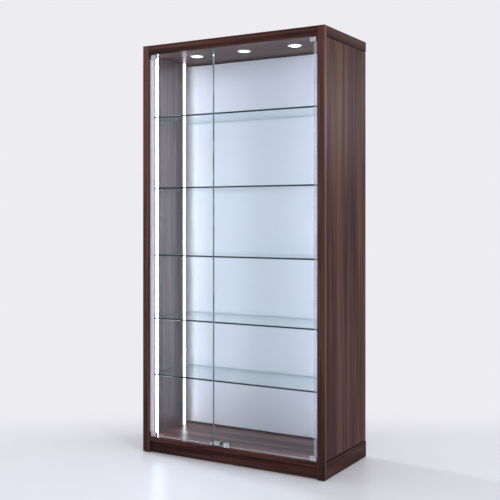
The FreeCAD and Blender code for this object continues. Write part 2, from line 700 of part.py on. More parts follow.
def latch_body(name):
    """A push latch: a rounded housing for the plunger and a screw foot behind it."""
    x = latch_middle(name)
    xs = (x - LATCH_WIDTH / 2, x + LATCH_WIDTH / 2)
    top = FLOOR_HEIGHT + LATCH_HEIGHT
    case = board(xs, (LATCH_FACE, LATCH_BACK), (FLOOR_HEIGHT, top))
    case = case.makeFillet(LATCH_ROUND, edges_along(case, BACKWARD, lambda p: at(p.z, top)))
    foot_ys = (LATCH_BACK, LATCH_BACK + LATCH_FOOT_LENGTH)
    foot = board(xs, foot_ys, (FLOOR_HEIGHT, FLOOR_HEIGHT + LATCH_FOOT_THICK))
    body = case.fuse(foot).removeSplitter()
    depth = PLUNGER_LENGTH + TOUCH_SPARE
    mouth = Vector(x, LATCH_FACE, LATCH_LEVEL)
    body = body.cut(Part.makeCylinder(PLUNGER_RADIUS + PLUNGER_CLEAR, depth, mouth, BACKWARD))
    for hole_x, hole_y in latch_screw_places(name):
        start = Vector(hole_x, hole_y, FLOOR_HEIGHT)
        body = body.cut(Part.makeCylinder(LATCH_SCREW_RADIUS, LATCH_FOOT_THICK, start, UP))
    return body


def latch_screw(x, y):
    seat = FLOOR_HEIGHT + LATCH_FOOT_THICK
    shank = Part.makeCylinder(LATCH_SCREW_RADIUS, LATCH_SCREW_LENGTH, Vector(x, y, seat), UP * -1)
    head = Part.makeCylinder(LATCH_SCREW_HEAD_RADIUS, LATCH_SCREW_HEAD_THICK, Vector(x, y, seat), UP)
    return shank.fuse(head)


def latch_plunger(name):
    """The magnet-tipped plunger that the door pushes in."""
    place = Vector(latch_middle(name), PLUNGER_FACE, LATCH_LEVEL)
    head = Part.makeCylinder(PLUNGER_HEAD_RADIUS, PLUNGER_HEAD_THICK, place, BACKWARD)
    stem_start = place + BACKWARD * PLUNGER_HEAD_THICK
    return head.fuse(Part.makeCylinder(PLUNGER_RADIUS, PLUNGER_LENGTH, stem_start, BACKWARD))


def cylinder_place(y):
    return Vector(CYLINDER_X, y, CYLINDER_LEVEL)


def lock_body():
    """The lock's housing: a clip with a bore for the cylinder and a pocket for its cam."""
    walls = (LOCK_FRONT, 0, LOCK_REAR)
    xs = (LOCK_LEFT, LOCK_LEFT + LOCK_WIDTH)
    case = glass_clip(xs, GLASS_LOW, 1, LOCK_HEIGHT, walls, LOCK_BASE, LOCK_ROUND / 2)
    bore_radius = CYLINDER_RADIUS + CYLINDER_CLEAR
    case = case.cut(Part.makeCylinder(bore_radius, LOCK_FRONT, cylinder_place(LOCK_FACE), BACKWARD))
    pocket_xs = (CYLINDER_X - CAM_WIDTH / 2 - CAM_CLEAR, CYLINDER_X + CAM_REACH + CAM_CLEAR)
    pocket_top = CYLINDER_LEVEL + CAM_WIDTH / 2 + CAM_CLEAR
    pocket = board(pocket_xs, (CAM_FACE - CAM_CLEAR, GLASS_FRONT), (LOCK_UNDER - OVERRUN, pocket_top))
    return case.cut(pocket)


def lock_cylinder():
    middle = cylinder_place(LOCK_FACE - CYLINDER_PROUD)
    barrel = Part.makeCylinder(CYLINDER_RADIUS, CAM_FACE - middle.y, middle, BACKWARD)
    keyway = board((middle.x - KEYWAY_WIDTH / 2, middle.x + KEYWAY_WIDTH / 2),
                   (middle.y, middle.y + KEYWAY_DEPTH),
                   (middle.z - KEYWAY_HEIGHT / 2, middle.z + KEYWAY_HEIGHT / 2))
    return barrel.cut(keyway)


def lock_cam():
    """A flat cam on the tail of the cylinder. It points aside when open and down when locked."""
    hub = cylinder_place(CAM_FACE)
    half = CAM_WIDTH / 2
    run = CAM_REACH - half
    arm = board((hub.x, hub.x + run), (CAM_FACE, CAM_BACK), (hub.z - half, hub.z + half))
    ends = [Part.makeCylinder(half, CAM_THICK, hub + ACROSS * step, BACKWARD) for step in (0, run)]
    return arm.fuse(ends).removeSplitter()


def build_cabinet():
    nodes = {
        "top_rail": [top_rail()],
        "top_slab": [top_slab()],
        "bottom_panel": [bottom_panel()],
        "plinth_front": [plinth_front()],
        "plinth_back": [plinth_back()],
        "plinth_brace": [plinth_brace()],
        "plinth_blocks": plinth_blocks(),
        "base_glides": [glide(place) for place in glide_places()],
        "back_panel": [back_panel()],
        "rear_board": [rear_board()],
        "cable_grommet": [cable_grommet()],
        "led_driver": [led_driver()],
    }
    for name, side in SIDES.items():
        nodes["stile_" + name] = [stile(side)]
        nodes["side_panel_" + name] = [side_panel(side)]
        nodes["plinth_side_" + name] = [plinth_side(side)]
        nodes["back_cleat_" + name] = [back_cleat(side)]
    return nodes


def build_lights():
    nodes = {"led_tapes": [], "led_end_caps": [], "downlight_lenses": []}
    for name, side in SIDES.items():
        for row, row_y in led_rows().items():
            place = row + "_" + name
            nodes["led_channel_" + place] = [led_channel(side, row_y)]
            nodes["led_diffuser_" + place] = [led_diffuser(side, row_y)]
            nodes["led_tapes"].append(led_tape(side, row_y))
            nodes["led_end_caps"] += led_caps(side, row_y)
    for name, x in LIGHT_PLACES.items():
        nodes["downlight_" + name] = [downlight(x)]
        nodes["downlight_lenses"].append(downlight_lens(x))
    return nodes


def build_shelves():
    nodes = {"shelf_pegs": []}
    for number, shelf_top in enumerate(SHELF_TOPS, start=1):
        nodes["shelf_" + str(number)] = [shelf(shelf_top)]
        for side in SIDES.values():
            nodes["shelf_pegs"] += [shelf_peg(side, y, shelf_top) for y in peg_rows()]
    return nodes


def build_doors():
    nodes = {"pivot_bushes": [], "latch_bodies": [], "latch_screws": []}
    for name, side in SIDES.items():
        nodes["door_glass_" + name] = [door_glass(name)]
        nodes["clamp_pads_" + name] = []
        nodes["clamp_screws_" + name] = []
        for place, (end, way, face) in door_ends().items():
            nodes["pivot_clip_" + place + "_" + name] = [pivot_clip(side, end, way, face)]
            nodes["clamp_pads_" + name].append(clamp_pad(side, end, way))
            nodes["clamp_screws_" + name] += [grub_screw(spot) for spot in grub_places(side, end, way)]
            nodes["pivot_bushes"].append(pivot_bush(side, way, face))
        nodes["strike_clip_" + name] = [strike_clip(name)]
        nodes["latch_plunger_" + name] = [latch_plunger(name)]
        nodes["latch_bodies"].append(latch_body(name))
        nodes["latch_screws"] += [latch_screw(x, y) for x, y in latch_screw_places(name)]
    nodes["lock_body"] = [lock_body()]
    nodes["lock_cylinder"] = [lock_cylinder()]
    nodes["lock_cam"] = [lock_cam()]
    return nodes


def main():
    os.makedirs("parts", exist_ok=True)
    nodes = {**build_cabinet(), **build_lights(), **build_shelves(), **build_doors()}
    for node, solids in nodes.items():
        shape = solids[0] if len(solids) == 1 else Part.makeCompound(solids)
        shape.exportStep("parts/" + node + ".step")
    print(len(nodes), "nodes")


main()
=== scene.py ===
# %% [markdown]
# A lit display tower
# The object is a tall showcase in dark walnut: two frameless glass doors, glass shelves, a light
# strip upright in each inner corner and three round lights in the top. The solids come from the
# packed frame. This lesson gives them their finishes, adds the clear seals on the doors and the
# screws in the back, and sets a camera, a floor and studio light round them.

# %% Load the frame
import math

import bmesh
import bpy
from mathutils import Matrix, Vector


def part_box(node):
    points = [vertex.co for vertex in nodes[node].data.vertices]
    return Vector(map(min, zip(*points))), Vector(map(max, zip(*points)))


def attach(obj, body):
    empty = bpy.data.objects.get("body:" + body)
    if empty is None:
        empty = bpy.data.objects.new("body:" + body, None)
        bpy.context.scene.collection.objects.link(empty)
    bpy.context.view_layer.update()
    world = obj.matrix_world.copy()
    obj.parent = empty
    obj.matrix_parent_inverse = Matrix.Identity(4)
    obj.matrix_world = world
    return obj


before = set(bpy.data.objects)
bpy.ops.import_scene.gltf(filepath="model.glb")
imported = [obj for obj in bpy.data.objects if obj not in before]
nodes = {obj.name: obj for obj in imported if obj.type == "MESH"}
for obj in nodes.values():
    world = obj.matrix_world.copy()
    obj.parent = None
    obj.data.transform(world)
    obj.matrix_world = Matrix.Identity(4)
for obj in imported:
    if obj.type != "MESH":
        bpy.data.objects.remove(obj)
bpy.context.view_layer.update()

# %% [markdown]
# The camera
# The photograph is level, because its upright edges stay parallel. The vanishing points of the top
# and bottom edges give the turn of the cabinet and the lens. The horizon lies above the middle of
# the picture. A tilted camera would make the upright edges lean, so a small lens shift puts the
# horizon there instead.

# %% Camera
LENS_MM = 63.4
SENSOR_MM = 36.0
CAMERA_TURN = math.radians(30.31)
CAMERA_PLACE = (2.1353, -3.6835, 1.1456)
HORIZON_SHIFT = -0.0658


def add(name, data):
    """Adds an object to the scene."""
    made = bpy.data.objects.new(name, data)
    bpy.context.scene.collection.objects.link(made)
    return made


eye = add("camera", bpy.data.cameras.new("camera"))
eye.data.lens = LENS_MM
eye.data.sensor_width = SENSOR_MM
eye.data.shift_y = HORIZON_SHIFT
eye.location = CAMERA_PLACE
eye.rotation_euler = (math.pi / 2, 0, CAMERA_TURN)
bpy.context.scene.camera = eye
bpy.context.scene.view_settings.view_transform = "Standard"
print("camera at", CAMERA_PLACE, "turned", round(math.degrees(CAMERA_TURN), 2), "degrees")

# %% [markdown]
# Writing materials as sums
# A material is a tree of nodes, and most of them are small sums. Adding and linking each Math node
# by hand hides what is summed. A class that wraps a socket and overloads the operators lets a sum
# be written as one, such as 1 - mask, and adds the Math nodes by itself.


# %% Sockets
def put(tree, slot, value):
    """Links a signal to a socket, or sets the socket to a plain value."""
    if isinstance(value, Signal):
        tree.links.new(value.socket, slot)
    else:
        slot.default_value = value


class Signal:
    """An output socket. Arithmetic on it adds Math nodes to its tree."""

    def __init__(self, tree, socket):
        self.tree = tree
        self.socket = socket

    def combine(self, operation, *values):
        node = self.tree.nodes.new("ShaderNodeMath")
        node.operation = operation
        for slot, value in zip(node.inputs, values):
            put(self.tree, slot, value)
        return Signal(self.tree, node.outputs[0])

    def __add__(self, other):
        return self.combine("ADD", self, other)

    def __radd__(self, other):
        return self.combine("ADD", other, self)

    def __sub__(self, other):
        return self.combine("SUBTRACT", self, other)

    def __rsub__(self, other):
        return self.combine("SUBTRACT", other, self)

    def __mul__(self, other):
        return self.combine("MULTIPLY", self, other)

    def __rmul__(self, other):
        return self.combine("MULTIPLY", other, self)

    def __pow__(self, other):
        return self.combine("POWER", self, other)

    def __mod__(self, other):
        return self.combine("FLOORED_MODULO", self, other)

    def __abs__(self):
        return self.combine("ABSOLUTE", self)

    def __gt__(self, other):
        return self.combine("GREATER_THAN", self, other)

    def __lt__(self, other):
        return self.combine("LESS_THAN", self, other)

    def larger(self, other):
        return self.combine("MAXIMUM", self, other)


def weigh(share, first, second):
    """Two signals in one: the first with its share, the second with the rest."""
    return first * share + second * (1 - share)


trial = bpy.data.node_groups.new("trial", "ShaderNodeTree")
mask = Signal(trial, trial.nodes.new("ShaderNodeValue").outputs[0])
print("1 - mask adds a", (1 - mask).socket.node.operation, "node")
bpy.data.node_groups.remove(trial)

# %% [markdown]
# Trees and finishes
# Every other node comes from one method. It takes the node's type, then its settings, because some
# settings change which sockets a node has, and then what its sockets hold or are linked to. A
# finish is such a tree for a material, with short names for the nodes that most materials use.


# %% Trees and finishes
class Tree:
    """A node tree, built one node at a time."""

    def __init__(self, tree):
        self.tree = tree
        self.tree.nodes.clear()

    def node(self, kind, settings=None, sockets=None, out=0):
        """Adds a node, sets its settings and then its sockets, and returns one output."""
        made = self.tree.nodes.new(kind)
        for key, value in (settings or {}).items():
            if key == "stops":
                bar = made.color_ramp.elements
                while len(bar) < len(value):
                    bar.new(1.0)
                for stop, (place, colour) in zip(bar, value):
                    stop.position = place
                    stop.color = (*colour, 1.0)
            else:
                setattr(made, key, value)
        for key, value in (sockets or {}).items():
            put(self.tree, made.inputs[key], value)
        return Signal(self.tree, made.outputs[out]) if made.outputs else None


class Finish(Tree):
    """A material."""

    # A Mix node has sockets for every type of data. These are the ones for colours.
    MIX_SHARE, MIX_FIRST, MIX_SECOND, MIX_OUT = 0, 6, 7, 2

    def __init__(self, name):
        self.material = bpy.data.materials.new(name)
        self.material.use_nodes = True
        super().__init__(self.material.node_tree)

    def part_of(self, output, axis):
        vector = self.node("ShaderNodeTexCoord", out=output)
        return self.node("ShaderNodeSeparateXYZ", sockets={"Vector": vector}, out=axis)

    def place(self, axis):
        """One coordinate of the object's own frame, in metres."""
        return self.part_of("Object", axis)

    def facing(self, axis):
        """One part of the surface's normal in the object's own frame."""
        return self.part_of("Normal", axis)

    def noise(self, per_metre, detail=4.0, rough=0.55, shift=(0.0, 0.0, 0.0), warp=0.0):
        """Noise with one scale per metre, or with its own along each axis."""
        scale = per_metre if isinstance(per_metre, tuple) else (per_metre,) * 3
        point = self.node("ShaderNodeTexCoord", out="Object")
        mapped = self.node("ShaderNodeMapping", sockets={
            "Vector": point, "Scale": scale, "Location": shift})
        return self.node("ShaderNodeTexNoise", sockets={
            "Vector": mapped, "Scale": 1.0, "Detail": detail, "Roughness": rough, "Distortion": warp})

    def ramp(self, value, stops):
        return self.node("ShaderNodeValToRGB", {"stops": stops}, {"Fac": value})

    def blend(self, share, first, second):
        """A colour between two others."""
        first, second = [c if isinstance(c, Signal) else (*c, 1.0) for c in (first, second)]
        return self.node("ShaderNodeMix", {"data_type": "RGBA"}, {
            self.MIX_SHARE: share, self.MIX_FIRST: first, self.MIX_SECOND: second}, out=self.MIX_OUT)

    def bump(self, height, strength, depth):
        return self.node("ShaderNodeBump", sockets={
            "Height": height, "Strength": strength, "Distance": depth})

    def shell(self, sockets):
        return self.node("ShaderNodeBsdfPrincipled", sockets=sockets)

    def between(self, share, first, second):
        """A shader between two others."""
        return self.node("ShaderNodeMixShader", sockets={0: share, 1: first, 2: second})

    def done(self, shader):
        self.node("ShaderNodeOutputMaterial", sockets={"Surface": shader})
        return self.material

    def surface(self, colour, relief, rough, swing, dent, depth, metallic=0.0):
        """A finished opaque surface, roughened by the swing of a relief and dented by it."""
        return self.done(self.shell({
            "Base Color": colour, "Metallic": metallic, "Roughness": rough + relief * swing,
            "Normal": self.bump(relief, dent, depth)}))


print("a finish can:", [name for name in vars(Finish) if name.islower() and "__" not in name])

# %% [markdown]
# Walnut
# The cabinet is veneered: fine straight grain, upright on the stiles and sides and lying on the
# rails, top and floor. A picture of veneer could be laid over the boards, but it would repeat.
# Noise that is stretched along the grain never does, and makes it in three sizes: broad figure,
# streaks and pores. Two browns, one redder and one greyer, keep the bands from looking painted. On
# the top the end faces have their own edging, so there the grain turns with the face. The inner
# walls and the floor are lacquered, with a coat that follows the streaks and catches the lights.
# The inner walls also carry a painted lavender sheen in their colour, and each board's browns are
# scaled lighter or darker as painted light and shade.

# %% Grain
FIGURE_PER_M = (10.0, 0.5)
STREAKS_PER_M = (85.0, 1.3)
PORES_PER_M = (520.0, 7.0)
FINE, COARSE = 1.0, 0.3


def stretched(pair, along, width=FINE):
    """Noise scales: the first number across the grain, the second along it."""
    return tuple(pair[1] if axis == along else pair[0] * width for axis in "XYZ")


def grain(finish, along, shift, width):
    """Figure, streaks and pores of boards whose grain runs along one axis."""
    figure = finish.noise(
        stretched(FIGURE_PER_M, along, width), detail=3.0, rough=0.5, shift=shift, warp=0.6)
    streak = finish.noise(
        stretched(STREAKS_PER_M, along, width), detail=5.0, rough=0.6, shift=shift, warp=0.3)
    pore = finish.noise(
        stretched(PORES_PER_M, along, width), detail=3.0, rough=0.6, shift=shift)
    return figure, streak, pore


print("streaks every", round(1000 / STREAKS_PER_M[0], 1), "mm across the grain")

# %% Walnut
DARK_BROWN = (0.0110, 0.0045, 0.0038)
RED_BROWN = (0.062, 0.0195, 0.0140)
PALE_BROWN = (0.145, 0.062, 0.049)
GREY_BROWN = (0.074, 0.037, 0.031)
BROWN_STOPS = (0.41, 0.50, 0.60)
GREY_STOPS = [(0.48, (0.0, 0.0, 0.0)), (0.60, (0.45, 0.45, 0.45))]
FIGURE_SHARE, STREAK_SHARE, PORE_SHARE = 0.34, 0.50, 0.16
GREY_FIGURE_SHARE = 0.6
SATIN = 0.28
PORE_ROUGH = 0.16
PORE_DENT, PORE_DEPTH = 0.12, 0.0004
END_DARKER = 0.03
FACES_IT = 0.5
LACQUER_ROUGH = 0.30
LACQUER_IOR = 2.0
LACQUER_STREAK, LACQUER_LESS = 2.4, 0.15
# Painted lavender sheen: the cool light of the strips on the inner lacquer, put into the colour.
PAINTED_LAVENDER_SHEEN = (0.21, 0.165, 0.205)
# The haze share is how much painted lavender sheen a face gets.
INNER_LEFT = {"axis": "X", "way": 1, "haze": 0.3, "coat": 1.0}
INNER_RIGHT = {"axis": "X", "way": -1, "haze": 0.3, "coat": 1.0}
UPPER = {"axis": "Z", "way": 1, "haze": 0.0, "coat": 0.30}


def walnut(name, along, shift, shine, rough=SATIN, width=FINE, ends=None, lacquered=None, painted_light_scale=1.0):
    """A veneered board with its grain along one axis. Ends turns the grain on its ends. Lacquered
    is a glossier face: its axis and way, the share of painted lavender sheen (haze) on it and the
    weight of its coat. Painted light scale makes all its browns lighter or darker, as painted light
    and shade."""
    finish = Finish(name)
    layers = grain(finish, along, shift, width)
    if ends:
        on_end = abs(finish.facing("X")) > FACES_IT
        turned = grain(finish, ends, shift, FINE)
        layers = [on_end * b + (1 - on_end) * a for a, b in zip(layers, turned)]
    figure, streak, pore = layers
    tone = figure * FIGURE_SHARE + streak * STREAK_SHARE + pore * PORE_SHARE
    if ends:
        tone = tone - on_end * END_DARKER
    # Painted light and shade: the scale makes the browns of a board lighter or darker as light falls
    # on it.
    browns = [tuple(part * painted_light_scale for part in shade) for shade in (DARK_BROWN, RED_BROWN, PALE_BROWN)]
    brown = finish.ramp(tone, list(zip(BROWN_STOPS, browns)))
    greyed = finish.ramp(weigh(GREY_FIGURE_SHARE, figure, pore), GREY_STOPS)
    colour = finish.blend(greyed, brown, GREY_BROWN)
    sockets = {
        "Base Color": colour,
        "Roughness": rough + pore * PORE_ROUGH,
        "Specular IOR Level": shine,
        "Normal": finish.bump(pore, PORE_DENT, PORE_DEPTH),
    }
    if lacquered:
        inner = finish.facing(lacquered["axis"]) * lacquered["way"] > FACES_IT
        coat = streak * LACQUER_STREAK - LACQUER_LESS
        # Painted sheen: the inner faces are tinted lavender as if lit by the strips.
        sockets["Base Color"] = finish.blend(inner * lacquered["haze"], colour, PAINTED_LAVENDER_SHEEN)
        sockets["Coat Weight"] = inner * coat * lacquered["coat"]
        sockets["Coat Roughness"] = LACQUER_ROUGH
        sockets["Coat IOR"] = LACQUER_IOR
    return finish.done(finish.shell(sockets))


# The scale on each board is painted light and shade: the left stile and the floor are lighter, the
# right stile, rail, top and plinth darker.
WALNUT = {
    "stile_left": walnut("walnut_stile_left", "Z", (3.1, 0.4, 0.0), shine=0.16, painted_light_scale=1.15),
    "stile_right": walnut("walnut_stile_right", "Z", (6.2, 1.9, 2.6), shine=0.13, painted_light_scale=0.95),
    "side_panel_left": walnut(
        "walnut_side_left", "Z", (0.7, 5.3, 1.0), shine=0.045, rough=0.26, lacquered=INNER_LEFT),
    "side_panel_right": walnut(
        "walnut_side_right", "Z", (1.9, 9.6, 4.0), shine=0.045, rough=0.26, lacquered=INNER_RIGHT),
    "top_rail": walnut("walnut_rail", "X", (0.0, 2.2, 6.1), shine=0.12, painted_light_scale=0.9),
    "top_slab": walnut(
        "walnut_top", "X", (2.0, 6.4, 0.9), shine=0.04, width=COARSE, ends="Y", painted_light_scale=0.68),
    "bottom_panel": walnut(
        "walnut_floor", "X", (5.0, 3.3, 7.4), shine=0.06, rough=0.34, width=COARSE,
        lacquered=UPPER, painted_light_scale=1.5),
    "plinth_front": walnut("walnut_plinth_front", "X", (8.0, 0.6, 3.2), shine=0.08, painted_light_scale=0.78),
    "plinth_back": walnut("walnut_plinth_back", "X", (1.0, 4.6, 8.2), shine=0.12, rough=0.30),
    "plinth_side_left": walnut(
        "walnut_plinth_left", "Y", (4.4, 0.0, 5.2), shine=0.03, painted_light_scale=0.78),
    "plinth_side_right": walnut(
        "walnut_plinth_right", "Y", (6.3, 3.0, 1.7), shine=0.03, painted_light_scale=0.78),
}
print("walnut boards:", len(WALNUT))

# %% [markdown]
# Plain boards
# Behind the veneer are a softwood frame, a hardboard back and a white laminate panel. One colour
# each would do from far off, but up close softwood shows wide growth rings along each piece,
# hardboard a felt of short fibres, and laminate a very faint mottle that keeps a large white face
# from looking like paper. Noise at the size of each makes all three. The laminate is also painted
# whiter toward both ends: painted light, where the light strips wash over it.

# %% Softwood, hardboard and laminate
RINGS_PER_M, FIBRES_PER_M = (60.0, 2.0), (500.0, 12.0)
RING_SHARE = 0.7
SOFTWOOD_TONES = [
    (0.38, (0.36, 0.22, 0.11)), (0.52, (0.58, 0.41, 0.24)), (0.64, (0.67, 0.51, 0.33))]
FELT_PER_M, FELT_CLOUDS_PER_M = 420.0, (9.0, 9.0, 6.0)
FELT_SHARE = 0.8
HARDBOARD_TONES = [
    (0.36, (0.095, 0.052, 0.034)), (0.50, (0.140, 0.082, 0.055)), (0.66, (0.190, 0.120, 0.084))]
FLECKS_PER_M, WHITE_CLOUDS_PER_M = 900.0, (3.0, 3.0, 2.0)
CLOUD_SWING, FLECK_SWING = 0.08, 0.02
# Tones by distance from the middle: the faint mottle is the laminate's own, the whiter ends are
# painted light.
LAMINATE_AND_PAINTED_WASH_TONES = [
    (0.15, (0.645, 0.668, 0.730)), (0.60, (0.700, 0.722, 0.785)),
    (0.88, (0.745, 0.765, 0.820)), (1.0, (0.950, 0.955, 0.970))]


def softwood(name, along):
    finish = Finish(name)
    ring = finish.noise(stretched(RINGS_PER_M, along), detail=3.0, rough=0.5, warp=0.5)
    fibre = finish.noise(stretched(FIBRES_PER_M, along), rough=0.6)
    colour = finish.ramp(weigh(RING_SHARE, ring, fibre), SOFTWOOD_TONES)
    return finish.surface(colour, fibre, rough=0.62, swing=0.2, dent=0.25, depth=0.0005)


def hardboard():
    finish = Finish("hardboard")
    felt = finish.noise(FELT_PER_M, detail=5.0, rough=0.65)
    cloud = finish.noise(FELT_CLOUDS_PER_M, detail=3.0)
    colour = finish.ramp(weigh(FELT_SHARE, felt, cloud), HARDBOARD_TONES)
    return finish.surface(colour, felt, rough=0.5, swing=0.2, dent=0.2, depth=0.0004)


def white_laminate():
    """Laminate with painted light: whiter toward both ends, where the light strips wash over it."""
    finish = Finish("white_laminate")
    cloud = finish.noise(WHITE_CLOUDS_PER_M, detail=2.0)
    fleck = finish.noise(FLECKS_PER_M, detail=2.0)
    painted_wash_share = abs(finish.place("X")) * (1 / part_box("back_panel")[1].x)
    colour = finish.ramp(painted_wash_share + cloud * CLOUD_SWING + fleck * FLECK_SWING, LAMINATE_AND_PAINTED_WASH_TONES)
    return finish.surface(colour, fleck, rough=0.42, swing=0.1, dent=0.03, depth=0.0002)


FINISHES = {
    "plinth_brace": softwood("softwood_brace", "Y"),
    "plinth_blocks": softwood("softwood_blocks", "Z"),
    "back_cleat_left": softwood("softwood_cleat_left", "Z"),
    "back_cleat_right": softwood("softwood_cleat_right", "Z"),
    "rear_board": hardboard(),
    "back_panel": white_laminate(),
}
print("plain boards:", len(FINISHES))
FINISHES.update(WALNUT)

# %% [markdown]
# Glass
# A pane shows what is behind it and a little of what is in front, more so at a slant. That is a
# mix of a Transparent and a Glossy shader, with the share worked out from the angle. The Fresnel
# node isn't used, because it takes the back face of a pane for the inside of a thick block. Light
# passes a Transparent shader, so the lamps reach the shelves. Polished edges look along the whole
# width of the sheet, which is why they are a dark blue-green: a mask on the normal finds them. On
# the shelves they are painted paler toward the back: painted light, where the lit panel shines
# into them.

# %% Glass
REFLECTION_HEAD_ON = 0.018
SLANT_POWER = 5.0
SMEARS_PER_M = 7.0
PANE_ROUGH, SMEAR_ROUGH = 0.01, 0.04
EDGE_CLOUDS_PER_M = 14.0
EDGE_DARK_AT, EDGE_PALE_AT = 0.35, 0.70
EDGE_ROUGH, EDGE_SHINE = 0.12, 0.3
PAINTED_LIGHT_FADE_POWER = 2.0
FLAT_ON = 0.9
SHELF_COUNT = 5


def glass(name, on_face, tint, edge_dark, edge_pale, painted_back_light=None):
    """A pane that faces along one axis. Where a colour of painted light for its back edge is given,
    its edges fade to it from front to back."""
    finish = Finish(name)
    slant = finish.node("ShaderNodeLayerWeight", sockets={"Blend": 0.5}, out="Facing")
    mirror = REFLECTION_HEAD_ON + (1 - REFLECTION_HEAD_ON) * slant ** SLANT_POWER
    smear = finish.noise(SMEARS_PER_M, detail=3.0)
    clear = finish.node("ShaderNodeBsdfTransparent", sockets={"Color": (*tint, 1.0)})
    shine = finish.node("ShaderNodeBsdfAnisotropic", {"distribution": "GGX"}, {
        "Color": (1.0, 1.0, 1.0, 1.0), "Roughness": PANE_ROUGH + smear * SMEAR_ROUGH})
    face = finish.between(mirror, clear, shine)
    cloud = finish.noise(EDGE_CLOUDS_PER_M)
    edge_colour = finish.ramp(cloud, [(EDGE_DARK_AT, edge_dark), (EDGE_PALE_AT, edge_pale)])
    if painted_back_light:
        low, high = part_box("shelf_1")
        inward = (finish.place("Y") - low.y) * (1 / (high.y - low.y))
        edge_colour = finish.blend(inward ** PAINTED_LIGHT_FADE_POWER, edge_colour, painted_back_light)
    edge = finish.shell({
        "Base Color": edge_colour, "Roughness": EDGE_ROUGH, "Specular IOR Level": EDGE_SHINE})
    is_face = abs(finish.facing(on_face)) > FLAT_ON
    return finish.done(finish.between(is_face, edge, face))


door_glass = glass(
    "door_glass", "Y", tint=(0.978, 0.988, 0.990),
    edge_dark=(0.10, 0.15, 0.155), edge_pale=(0.30, 0.38, 0.385))
shelf_glass = glass(
    "shelf_glass", "Z", tint=(0.938, 0.984, 0.978),
    edge_dark=(0.001, 0.012, 0.019), edge_pale=(0.008, 0.046, 0.058), painted_back_light=(0.34, 0.43, 0.45))
PANES = {"door_glass_left": door_glass, "door_glass_right": door_glass}
for number in range(1, SHELF_COUNT + 1):
    PANES["shelf_" + str(number)] = shelf_glass
FINISHES.update(PANES)
print("panes:", len(PANES))

# %% [markdown]
# Lights
# The uprights are opal covers over strips of small lamps, and the round lights are frosted discs.
# Lamps could be hidden behind them, but covers that glow a cool white are the light of the cabinet
# as well as its brightest surface. Each strip has its own strength, set by what lies beside it in
# the photograph. The glow fades toward the rim of a cover, and a slow ripple in it is what the
# lamps behind an opal cover leave.

# %% Light strips
COOL_WHITE = (0.80, 0.845, 1.0)
PALER_WHITE = (0.86, 0.895, 1.0)
FADED_WHITE = (0.012, 0.016, 0.028)
OPAL_TONES = [(0.35, COOL_WHITE), (0.65, PALER_WHITE)]
OPAL_ROUGH, OPAL_SWING = 0.35, 0.1
STRIP_GLOW = {"front_left": 28.5, "front_right": 28.5, "back_left": 7.0, "back_right": 16.0}
STRIP_FADE = {"front": (0.40, 0.65, 1.0), "back": (0.95, 1.0, 1.0)}
STRIP_WAVES_PER_M = (20.0, 20.0, 60.0)
STRIP_RIPPLE = 0.1


def opal(finish, wave, glow_colour, strength):
    """A frosted cover that glows."""
    return finish.done(finish.shell({
        "Base Color": finish.ramp(wave, OPAL_TONES), "Roughness": OPAL_ROUGH + wave * OPAL_SWING,
        "Emission Color": glow_colour, "Emission Strength": strength}))


def lit_strip(corner):
    """The cover of one upright, bright along its middle line and fading toward its sides."""
    finish = Finish("opal_strip_" + corner)
    low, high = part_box("led_diffuser_" + corner)
    half_width = (high.y - low.y) / 2
    out = abs(finish.place("Y") - (low.y + high.y) / 2) * (1 / half_width)
    wave = finish.noise(STRIP_WAVES_PER_M, detail=2.0)
    fade = STRIP_FADE[corner.split("_")[0]]
    glow_colour = finish.ramp(
        out + wave * STRIP_RIPPLE, list(zip(fade, (PALER_WHITE, COOL_WHITE, FADED_WHITE))))
    return opal(finish, wave, glow_colour, STRIP_GLOW[corner])


for corner in STRIP_GLOW:
    FINISHES["led_diffuser_" + corner] = lit_strip(corner)
print("light strips:", STRIP_GLOW)

# %% Round lights
DISC_GLOW = 140.0
DISC_FADE = [
    (0.10, PALER_WHITE), (0.40, (0.10, 0.11, 0.13)),
    (0.68, (0.0075, 0.0085, 0.0110)), (1.0, (0.0022, 0.0026, 0.0036))]
DISC_WAVES_PER_M = 80.0
DISC_RIPPLE = 0.06


def lit_disc():
    """Three frosted discs in a row, each brightest in its middle."""
    finish = Finish("opal_disc")
    low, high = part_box("downlight_left")
    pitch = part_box("downlight_centre")[0].x - low.x
    from_middle = (finish.place("X") + pitch / 2) % pitch - pitch / 2
    from_row = finish.place("Y") - (low.y + high.y) / 2
    out = (from_middle ** 2.0 + from_row ** 2.0) ** 0.5 * (2 / (high.x - low.x))
    wave = finish.noise(DISC_WAVES_PER_M, detail=2.0)
    return opal(finish, wave, finish.ramp(out + wave * DISC_RIPPLE, DISC_FADE), DISC_GLOW)


FINISHES["downlight_lenses"] = lit_disc()
print("round lights:", DISC_GLOW)

# %% [markdown]
# Metals
# The clips are satin nickel, the screws and the cam zinc plated. The light channels are aluminium:
# anodised grey at the back, and painted white in front, where they show beside the bright doors.
# The white in front is painted light for the glow beside the front strips, and the grey at the back
# painted shade for the dark line beside the rear strips.
# Satin metal is brushed: fine lines in one direction that blur its reflections. Real grooves would
# take far too many faces, so stretched noise gives the lines to both the roughness and the bump.

# %% Metals
BRUSHED_PER_M = (2400.0, 30.0)
METAL_CLOUDS_PER_M = 25.0
METAL_CLOUD_SHARE = 0.6
WORN_AT, BRIGHT_AT = 0.35, 0.60
PEEL_PER_M, PAINT_CLOUDS_PER_M = 260.0, 12.0
SHADE_AT, LIGHT_AT = 0.35, 0.65


